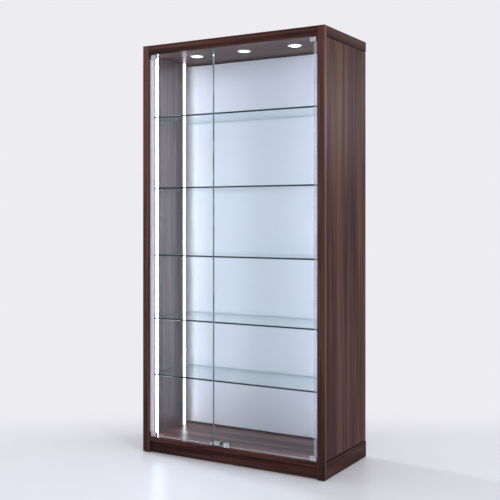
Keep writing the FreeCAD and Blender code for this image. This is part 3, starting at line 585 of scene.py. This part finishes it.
def metal(name, along, rough, bright, worn):
    """Metal that is brushed along one axis."""
    finish = Finish(name)
    line = finish.noise(stretched(BRUSHED_PER_M, along), detail=3.0, rough=0.6)
    cloud = finish.noise(METAL_CLOUDS_PER_M, detail=3.0)
    colour = finish.ramp(
        weigh(METAL_CLOUD_SHARE, cloud, line), [(WORN_AT, worn), (BRIGHT_AT, bright)])
    return finish.surface(colour, line, rough, swing=0.14, dent=0.08, depth=0.0002, metallic=1.0)


def enamel(name, rough, light, shade):
    """Sprayed paint with a faint orange peel."""
    finish = Finish(name)
    peel = finish.noise(PEEL_PER_M, detail=2.0)
    cloud = finish.noise(PAINT_CLOUDS_PER_M, detail=3.0)
    colour = finish.ramp(cloud, [(SHADE_AT, shade), (LIGHT_AT, light)])
    return finish.surface(colour, peel, rough, swing=0.1, dent=0.05, depth=0.0003)


nickel = metal("satin_nickel", "X", 0.28, bright=(0.52, 0.52, 0.535), worn=(0.42, 0.42, 0.435))
grey_anodised_as_shade = metal(
    "anodised_aluminium", "Z", 0.30, bright=(0.40, 0.41, 0.44), worn=(0.33, 0.34, 0.37))
zinc = metal("zinc_plate", "Y", 0.30, bright=(0.60, 0.60, 0.61), worn=(0.46, 0.46, 0.48))
chrome = metal("turned_chrome", "Y", 0.10, bright=(0.82, 0.82, 0.83), worn=(0.72, 0.72, 0.74))
white_paint_as_glow = enamel("white_enamel", 0.34, light=(0.86, 0.86, 0.88), shade=(0.80, 0.80, 0.82))
grey_paint = enamel("grey_enamel", 0.36, light=(0.50, 0.51, 0.56), shade=(0.42, 0.43, 0.48))
METALWORK = {
    "lock_body": nickel, "lock_cylinder": chrome, "lock_cam": zinc,
    "latch_screws": zinc, "shelf_pegs": nickel,
}
for side in ("left", "right"):
    METALWORK["pivot_clip_bottom_" + side] = nickel
    METALWORK["pivot_clip_top_" + side] = nickel
    METALWORK["strike_clip_" + side] = nickel
    METALWORK["clamp_screws_" + side] = zinc
    METALWORK["latch_plunger_" + side] = zinc
    # Front channels white as painted light, back channels grey as painted shade.
    METALWORK["led_channel_front_" + side] = white_paint_as_glow
    METALWORK["led_channel_back_" + side] = grey_anodised_as_shade
for place in ("left", "centre", "right"):
    METALWORK["downlight_" + place] = grey_paint
FINISHES.update(METALWORK)
print("metal and painted pieces:", len(METALWORK))

# %% [markdown]
# Plastics, rubber and the light tape
# Small moulded pieces have a fine spark-eroded grain, which is noise in the bump. The tape behind
# each cover is a pale strip with a yellow lamp every few millimetres. Hundreds of small solids
# that hardly show would be wasted there: a repeat of the height coordinate paints them instead.

# %% Plastics, rubber and tape
SPARKS_PER_M, PLASTIC_CLOUDS_PER_M = 1500.0, 30.0
PLASTIC_CLOUD_SHARE = 0.7
MOULD_SHADE_AT, MOULD_LIGHT_AT = 0.36, 0.62
LAMP_PITCH, LAMP_HALF = 0.0125, 0.0014
LAMP_YELLOW = (0.85, 0.66, 0.12)
TAPE_TONES = [(0.35, (0.80, 0.80, 0.76)), (0.65, (0.88, 0.88, 0.85))]
TAPE_FILM_PER_M = (200.0, 200.0, 40.0)
TAPE_ROUGH, TAPE_SWING = 0.35, 0.15


def moulded(name, rough, light, shade, depth):
    finish = Finish(name)
    spark = finish.noise(SPARKS_PER_M, detail=3.0, rough=0.6)
    cloud = finish.noise(PLASTIC_CLOUDS_PER_M, detail=3.0)
    colour = finish.ramp(
        weigh(PLASTIC_CLOUD_SHARE, cloud, spark), [(MOULD_SHADE_AT, shade), (MOULD_LIGHT_AT, light)])
    return finish.surface(colour, spark, rough, swing=0.2, dent=0.3, depth=depth)


def lamp_tape():
    finish = Finish("lamp_tape")
    on_lamp = abs(finish.place("Z") % LAMP_PITCH - LAMP_PITCH / 2) < LAMP_HALF
    film = finish.noise(TAPE_FILM_PER_M, detail=2.0)
    tape = finish.ramp(film, TAPE_TONES)
    return finish.done(finish.shell({
        "Base Color": finish.blend(on_lamp, tape, LAMP_YELLOW),
        "Roughness": TAPE_ROUGH + film * TAPE_SWING}))


rubber = moulded(
    "black_rubber", 0.60, light=(0.030, 0.030, 0.031), shade=(0.018, 0.018, 0.019), depth=0.0003)
nylon = moulded(
    "natural_nylon", 0.38, light=(0.76, 0.75, 0.71), shade=(0.68, 0.67, 0.62), depth=0.0002)
dark_plastic = moulded(
    "dark_plastic", 0.40, light=(0.10, 0.085, 0.080), shade=(0.065, 0.055, 0.052), depth=0.0003)
grey_plastic = moulded(
    "grey_plastic", 0.40, light=(0.60, 0.61, 0.64), shade=(0.52, 0.53, 0.56), depth=0.0002)
white_plastic = moulded(
    "white_plastic", 0.36, light=(0.80, 0.80, 0.79), shade=(0.74, 0.74, 0.73), depth=0.0002)
FINISHES.update({
    "cable_grommet": rubber, "clamp_pads_left": rubber, "clamp_pads_right": rubber,
    "base_glides": nylon, "pivot_bushes": nylon, "latch_bodies": dark_plastic,
    "led_end_caps": grey_plastic, "led_driver": white_plastic, "led_tapes": lamp_tape(),
})
for name, material in FINISHES.items():
    nodes[name].data.materials.clear()
    nodes[name].data.materials.append(material)
print("finished", len(FINISHES), "of", len(nodes), "nodes; left:", sorted(set(nodes) - set(FINISHES)))

# %% [markdown]
# Edge seals on the doors
# A pale line runs along the hinge edge of each glass door, a thin one along its foot, and one that
# hardly shows along its head. On a frameless door that is a clear plastic seal, pressed over the
# glass, that keeps dust out. Its paleness is partly the milky plastic and partly a painted glow,
# strongest on the left hinge. A curve with a bevel could draw it, but the runs are straight, so each
# is one outline of the profile, drawn out along the edge: a function that turns an outline and two
# ends into a closed bar makes them all. They stop short of the metal clips.

# %% Seal profiles
SEAL_WALL = 0.001
SEAL_FLANGE = 0.0185
SEAL_LIP = 0.0003
LIP_RUN = 0.0015
FIN_HALF = 0.0005
FIN_CLEAR = 0.0004
FOOT_FLANGE = 0.0022


def edge_profile(front, back):
    """A channel round an upright edge: (distance in from the edge, depth) points."""
    half = [(-SEAL_WALL, -SEAL_WALL), (SEAL_FLANGE - LIP_RUN, -SEAL_WALL), (SEAL_FLANGE, -SEAL_LIP),
            (SEAL_FLANGE, 0.0), (0.0, 0.0)]
    return ([(near, front + out) for near, out in half]
            + [(near, back - out) for near, out in reversed(half)])


def wiper_profile(front, back, gap):
    """A channel with a fin across a gap: (depth, distance in from the edge) points."""
    middle = (front + back) / 2
    return [(front, FOOT_FLANGE), (front, 0.0), (back, 0.0), (back, FOOT_FLANGE),
            (back + SEAL_WALL, FOOT_FLANGE), (back + SEAL_WALL, -SEAL_WALL),
            (middle + FIN_HALF, -SEAL_WALL), (middle + FIN_HALF, FIN_CLEAR - gap),
            (middle - FIN_HALF, FIN_CLEAR - gap), (middle - FIN_HALF, -SEAL_WALL),
            (front - SEAL_WALL, -SEAL_WALL), (front - SEAL_WALL, FOOT_FLANGE)]


def draw_out(made, outline, place):
    """A closed bar: place(point, end) gives the corner of an outline point at end 0 or 1."""
    rings = [[made.verts.new(place(point, end)) for point in outline] for end in (0, 1)]
    for step in range(len(outline)):
        after = (step + 1) % len(outline)
        made.faces.new((rings[0][step], rings[0][after], rings[1][after], rings[1][step]))
    for ring in rings:
        made.faces.new(ring)


print("seal flanges:", 1000 * SEAL_FLANGE, "mm at the hinge,", 1000 * FOOT_FLANGE, "mm at the foot")

# %% Seal plastic
SEAL_TINT = (0.96, 0.96, 0.98)
SEAL_TONES = [(0.35, (0.74, 0.72, 0.80)), (0.65, (0.84, 0.82, 0.89))]
# The milky part glows faintly: a painted glow for the light of the strips beside it.
SEAL_PAINTED_GLOW, SEAL_PAINTED_GLOW_STRENGTH = (0.80, 0.79, 0.95), 0.17
SEAL_HAZE_PER_M = (160.0, 160.0, 14.0)
SEAL_ROUGH, SEAL_SWING = 0.22, 0.15
SEAL_DENT, SEAL_DEPTH = 0.1, 0.0003
# Shares of the milky, glowing part: the painted glow is strongest on the left hinge, then the foot,
# less on the right hinge, and nearly none at the head.
CLEAR_SHARE, FOOT_SHARE = 0.04, 0.26
HINGE_SHARE, LEFT_HINGE_SHARE, HINGE_HAZE = 0.07, 0.36, 0.08
CLIP_CLEAR = 0.0005


def seal_plastic():
    """Clear, slightly milky plastic. Its milky part has a painted glow for the light of the strips
    beside it.
    """
    finish = Finish("seal_plastic")
    haze = finish.noise(SEAL_HAZE_PER_M, detail=3.0)
    clear = finish.node("ShaderNodeBsdfTransparent", sockets={"Color": (*SEAL_TINT, 1.0)})
    milky_and_glowing = finish.shell({
        "Base Color": finish.ramp(haze, SEAL_TONES), "Roughness": SEAL_ROUGH + haze * SEAL_SWING,
        "Normal": finish.bump(haze, SEAL_DENT, SEAL_DEPTH),
        "Emission Color": (*SEAL_PAINTED_GLOW, 1.0), "Emission Strength": SEAL_PAINTED_GLOW_STRENGTH})
    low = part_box("door_glass_left")[0]
    on_hinge_edge = abs(finish.place("X")) > -low.x - SEAL_FLANGE - CLIP_CLEAR
    on_foot_edge = abs(finish.place("Z") - low.z - FOOT_FLANGE / 2) < FOOT_FLANGE / 2
    wide_share = (finish.place("X") < 0.0) * LEFT_HINGE_SHARE + HINGE_SHARE + haze * HINGE_HAZE
    thin_share = on_foot_edge * FOOT_SHARE + CLEAR_SHARE
    share = on_hinge_edge * wide_share + (1 - on_hinge_edge) * thin_share
    return finish.done(finish.between(share, clear, milky_and_glowing))


clear_seal = seal_plastic()
print("seal plastic:", len(clear_seal.node_tree.nodes), "nodes")

# %% Seals of both doors
AT_FOOT, AT_HEAD = 1, -1
HINGE_LEFT, HINGE_RIGHT = 1, -1
SEAM_CLEAR = 0.002


def to_mesh(made, name):
    """Turns a shape into a mesh."""
    mesh = bpy.data.meshes.new(name)
    made.to_mesh(mesh)
    made.free()
    return mesh


def door_seal(side, way, runs):
    """Hinge, foot and head seal of one door; way is +1 where the hinge is on the -X side."""
    low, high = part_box("door_glass_" + side)
    edge = low.x if way == HINGE_LEFT else high.x
    ends = (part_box("pivot_clip_bottom_" + side)[1].z + CLIP_CLEAR,
            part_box("pivot_clip_top_" + side)[0].z - CLIP_CLEAR)
    made = bmesh.new()
    draw_out(made, edge_profile(low.y, high.y),
             lambda point, end: (edge + way * point[0], point[1], ends[end]))
    profile = wiper_profile(low.y, high.y, low.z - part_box("bottom_panel")[1].z)
    for up, xs in runs:
        level = low.z if up == AT_FOOT else high.z
        draw_out(made, profile, lambda point, end: (xs[end], point[0], level + up * point[1]))
    bmesh.ops.recalc_face_normals(made, faces=made.faces)
    return add("door_seal_" + side, to_mesh(made, "door_seal_" + side))


def past(node):
    """Where a run starts, just past a clip."""
    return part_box(node)[1].x + CLIP_CLEAR


def short_of(node):
    """Where a run ends, just short of a clip."""
    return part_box(node)[0].x - CLIP_CLEAR


left_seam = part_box("door_glass_left")[1].x - SEAM_CLEAR
right_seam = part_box("door_glass_right")[0].x + SEAM_CLEAR
SEAL_RUNS = {
    "left": (HINGE_LEFT, [
        (AT_FOOT, (past("pivot_clip_bottom_left"), short_of("strike_clip_left"))),
        (AT_HEAD, (past("pivot_clip_top_left"), left_seam))]),
    "right": (HINGE_RIGHT, [
        (AT_FOOT, (past("strike_clip_right"), short_of("lock_body"))),
        (AT_FOOT, (past("lock_body"), short_of("pivot_clip_bottom_right"))),
        (AT_HEAD, (right_seam, short_of("pivot_clip_top_right")))]),
}
for side, (way, runs) in SEAL_RUNS.items():
    seal = door_seal(side, way, runs)
    seal.data.materials.append(clear_seal)
    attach(seal, side + "_door")
    print(seal.name, len(seal.data.polygons), "faces")

# %% [markdown]
# Screws in the back
# The rear board is a loose sheet in a rebate, held by a column of pan head screws down each side.
# One head is made, with a cross recess: a ring of points for each step of its profile, and
# a cross that has as many points as a ring, so that the faces between them are plain quads. A
# Geometry Nodes tree then sets it along two upright lines, because the count and the reach are all
# that would change on another cabinet.

# %% One screw head
HEAD_RADIUS = 0.0036
HEAD_HEIGHT = 0.0016
HEAD_POINTS = 24
HEAD_STEP = 2 * math.pi / HEAD_POINTS
HEAD_PROFILE = ((1.0, -0.2), (1.0, 0.25), (0.93, 0.70), (0.74, 1.0))
CROSS_REACH = 0.56
CROSS_PROFILE = ((1.0, 1.0), (0.78, 0.30))


def cross_outline():
    """The corners of a cross and the middles between them, in order round it."""
    thin = CROSS_REACH * math.tan(HEAD_STEP)
    corners = []
    for quarter in range(4):
        turn = quarter * math.pi / 2
        for across, up in ((CROSS_REACH, -thin), (CROSS_REACH, thin), (thin, thin)):
            corners.append((across * math.cos(turn) - up * math.sin(turn),
                            across * math.sin(turn) + up * math.cos(turn)))
    outline = []
    for here, there in zip(corners, corners[1:] + corners[:1]):
        outline += [here, ((here[0] + there[0]) / 2, (here[1] + there[1]) / 2)]
    return outline


def screw_head():
    """A head on the plane y = 0 that faces +Y."""
    made = bmesh.new()
    turns = [(step - 1) * HEAD_STEP for step in range(HEAD_POINTS)]
    loops = [[(share * math.cos(turn), level, share * math.sin(turn)) for turn in turns]
             for share, level in HEAD_PROFILE]
    loops += [[(share * across, level, share * up) for across, up in cross_outline()]
              for share, level in CROSS_PROFILE]
    loops = [[made.verts.new((x * HEAD_RADIUS, y * HEAD_HEIGHT, z * HEAD_RADIUS)) for x, y, z in loop]
             for loop in loops]
    for outer, inner in zip(loops, loops[1:]):
        for step in range(HEAD_POINTS):
            after = (step + 1) % HEAD_POINTS
            made.faces.new((outer[step], outer[after], inner[after], inner[step]))
    made.faces.new(loops[0])
    made.faces.new(loops[-1])
    bmesh.ops.recalc_face_normals(made, faces=made.faces)
    return to_mesh(made, "screw_head")


head = screw_head()
print("screw head:", len(head.polygons), "faces")

# %% A tree for two columns
SCREWS_PER_COLUMN = 9
SCREW_END_GAP = 0.06

board_low, board_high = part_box("rear_board")
cleat_low, cleat_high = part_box("back_cleat_right")
screw_sizes = {
    "Column Reach": (cleat_low.x + cleat_high.x) / 2,
    "Face": board_high.y,
    "Lowest": board_low.z + SCREW_END_GAP,
    "Highest": board_high.z - SCREW_END_GAP,
    "Per Column": SCREWS_PER_COLUMN,
}
group = bpy.data.node_groups.new("screw_columns", "GeometryNodeTree")
group.interface.new_socket("Geometry", in_out="INPUT", socket_type="NodeSocketGeometry")
for label, size in screw_sizes.items():
    kind = "NodeSocketInt" if isinstance(size, int) else "NodeSocketFloat"
    group.interface.new_socket(label, in_out="INPUT", socket_type=kind)
group.interface.new_socket("Geometry", in_out="OUTPUT", socket_type="NodeSocketGeometry")

tree = Tree(group)
given = {label: tree.node("NodeGroupInput", out=label) for label in ("Geometry", *screw_sizes)}
columns = []
for side in (-1, 1):
    across = given["Column Reach"] * side
    foot, top = [tree.node("ShaderNodeCombineXYZ", sockets={
        "X": across, "Y": given["Face"], "Z": given[level]}) for level in ("Lowest", "Highest")]
    columns.append(tree.node("GeometryNodeMeshLine", {"mode": "END_POINTS"}, {
        "Count": given["Per Column"], "Start Location": foot, "Offset": top}))
both = tree.node("GeometryNodeJoinGeometry", sockets={0: columns[0]})
group.links.new(columns[1].socket, both.socket.node.inputs[0])
placed = tree.node("GeometryNodeInstanceOnPoints", sockets={
    "Points": both, "Instance": given["Geometry"]})
solid = tree.node("GeometryNodeRealizeInstances", sockets={"Geometry": placed})
plated = tree.node("GeometryNodeSetMaterial", sockets={"Geometry": solid, "Material": zinc})
tree.node("NodeGroupOutput", sockets={"Geometry": plated})
print("screw columns:", {label: round(size, 4) for label, size in screw_sizes.items()})

# %% Screws
screws = add("rear_screws", head)
repeat = screws.modifiers.new("screw_columns", "NODES")
repeat.node_group = group
for item in group.interface.items_tree:
    if item.in_out == "INPUT" and item.name in screw_sizes:
        repeat[item.identifier] = screw_sizes[item.name]
shaped = screws.evaluated_get(bpy.context.evaluated_depsgraph_get())
mesh = bpy.data.meshes.new_from_object(shaped)
screws.modifiers.remove(repeat)
screws.data = mesh
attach(screws, "cabinet")
print("rear screws:", len(mesh.polygons), "faces in", 2 * SCREWS_PER_COLUMN, "heads")

# %% [markdown]
# Floor and background
# The cabinet stands in an empty pale studio. A curved backdrop could hide the horizon, but it would
# show in other views. So the floor is flat: it takes the shadow and a soft gleam of the lit front,
# and it fades behind the cabinet and all round it into the tone of the background. The world shows
# that tone to the camera, to mirrors and through glass, and gives the rest of the room a plain
# even light.

# %% Floor
BACKDROP = (0.847, 0.840, 0.880)
FLOOR_REACH = 30.0
FLOOR_TONES = [(0.3, (0.715, 0.72, 0.79)), (0.7, (0.735, 0.74, 0.805))]
FLOOR_DUST_PER_M = 3.0
FLOOR_ROUGH, FLOOR_SWING, FLOOR_SHINE = 0.36, 0.06, 0.35
FADE_BEHIND = (0.2, 0.95)
FADE_AROUND = (1.5, 3.6)

ground = bmesh.new()
bmesh.ops.create_grid(ground, x_segments=1, y_segments=1, size=FLOOR_REACH)
floor = add("floor", to_mesh(ground, "floor"))

studio = Finish("studio_floor")
behind = studio.place("Y") * math.cos(CAMERA_TURN) - studio.place("X") * math.sin(CAMERA_TURN)
around = (studio.place("X") ** 2.0 + studio.place("Y") ** 2.0) ** 0.5
fades = [studio.node("ShaderNodeMapRange", {"interpolation_type": "SMOOTHSTEP"}, {
    "Value": distance, "From Min": start, "From Max": end})
    for distance, (start, end) in ((behind, FADE_BEHIND), (around, FADE_AROUND))]
fade = fades[0].larger(fades[1])
dust = studio.noise(FLOOR_DUST_PER_M, detail=3.0)
paint = studio.shell({
    "Base Color": studio.ramp(dust, FLOOR_TONES), "Roughness": FLOOR_ROUGH + dust * FLOOR_SWING,
    "Specular IOR Level": FLOOR_SHINE})
haze = studio.node("ShaderNodeEmission", sockets={"Color": (*BACKDROP, 1.0), "Strength": 1.0})
floor.data.materials.append(studio.done(studio.between(fade, paint, haze)))
print("floor:", 2 * FLOOR_REACH, "m wide, faded", FADE_BEHIND[1], "m behind the middle")

# %% Background
FILL = 0.50

world = bpy.data.worlds.new("studio")
world.use_nodes = True
bpy.context.scene.world = world
sky = Tree(world.node_tree)
seen = sum(sky.node("ShaderNodeLightPath", out=ray)
           for ray in ("Is Camera Ray", "Is Glossy Ray", "Is Transmission Ray"))
even = sky.node("ShaderNodeBackground", sockets={"Color": (1.0, 1.0, 1.0, 1.0), "Strength": FILL})
shown = sky.node("ShaderNodeBackground", sockets={"Color": (*BACKDROP, 1.0), "Strength": 1.0})
mixed = sky.node("ShaderNodeMixShader", sockets={0: seen, 1: even, 2: shown})
sky.node("ShaderNodeOutputWorld", sockets={"Surface": mixed})
print("background", BACKDROP, "and an even light of", FILL)

# %% [markdown]
# Studio lamps
# A wide soft lamp hangs overhead, so that the tops are lighter than the feet. One far to the left
# and one in front on the right each throw a soft shadow to the other side of the foot, and a small
# one behind on the right gives the side its sheen.

# %% Studio lamps
# Each lamp has its place, the point that it faces, its size in metres and its power in watts.
LAMPS = {
    "overhead": ((0.4, -0.4, 4.4), (0.0, 0.0, 0.4), 3.6, 82.0),
    "far_left": ((-7.0, 1.0, 3.6), (0.0, 0.0, 0.6), 0.7, 190.0),
    "front_right": ((3.6, -2.2, 2.6), (0.0, 0.0, 0.8), 0.4, 40.0),
    "back_right": ((2.4, 2.9, 2.0), (0.4, 0.0, 1.4), 0.7, 14.0),
}
for name, (place, target, size, power) in LAMPS.items():
    lamp = bpy.data.lights.new(name, "AREA")
    lamp.size = size
    lamp.energy = power
    stand = add(name, lamp)
    stand.location = place
    stand.rotation_euler = (Vector(target) - Vector(place)).to_track_quat("-Z", "Y").to_euler()
print("lamps:", list(LAMPS))

# %% [markdown] Closing
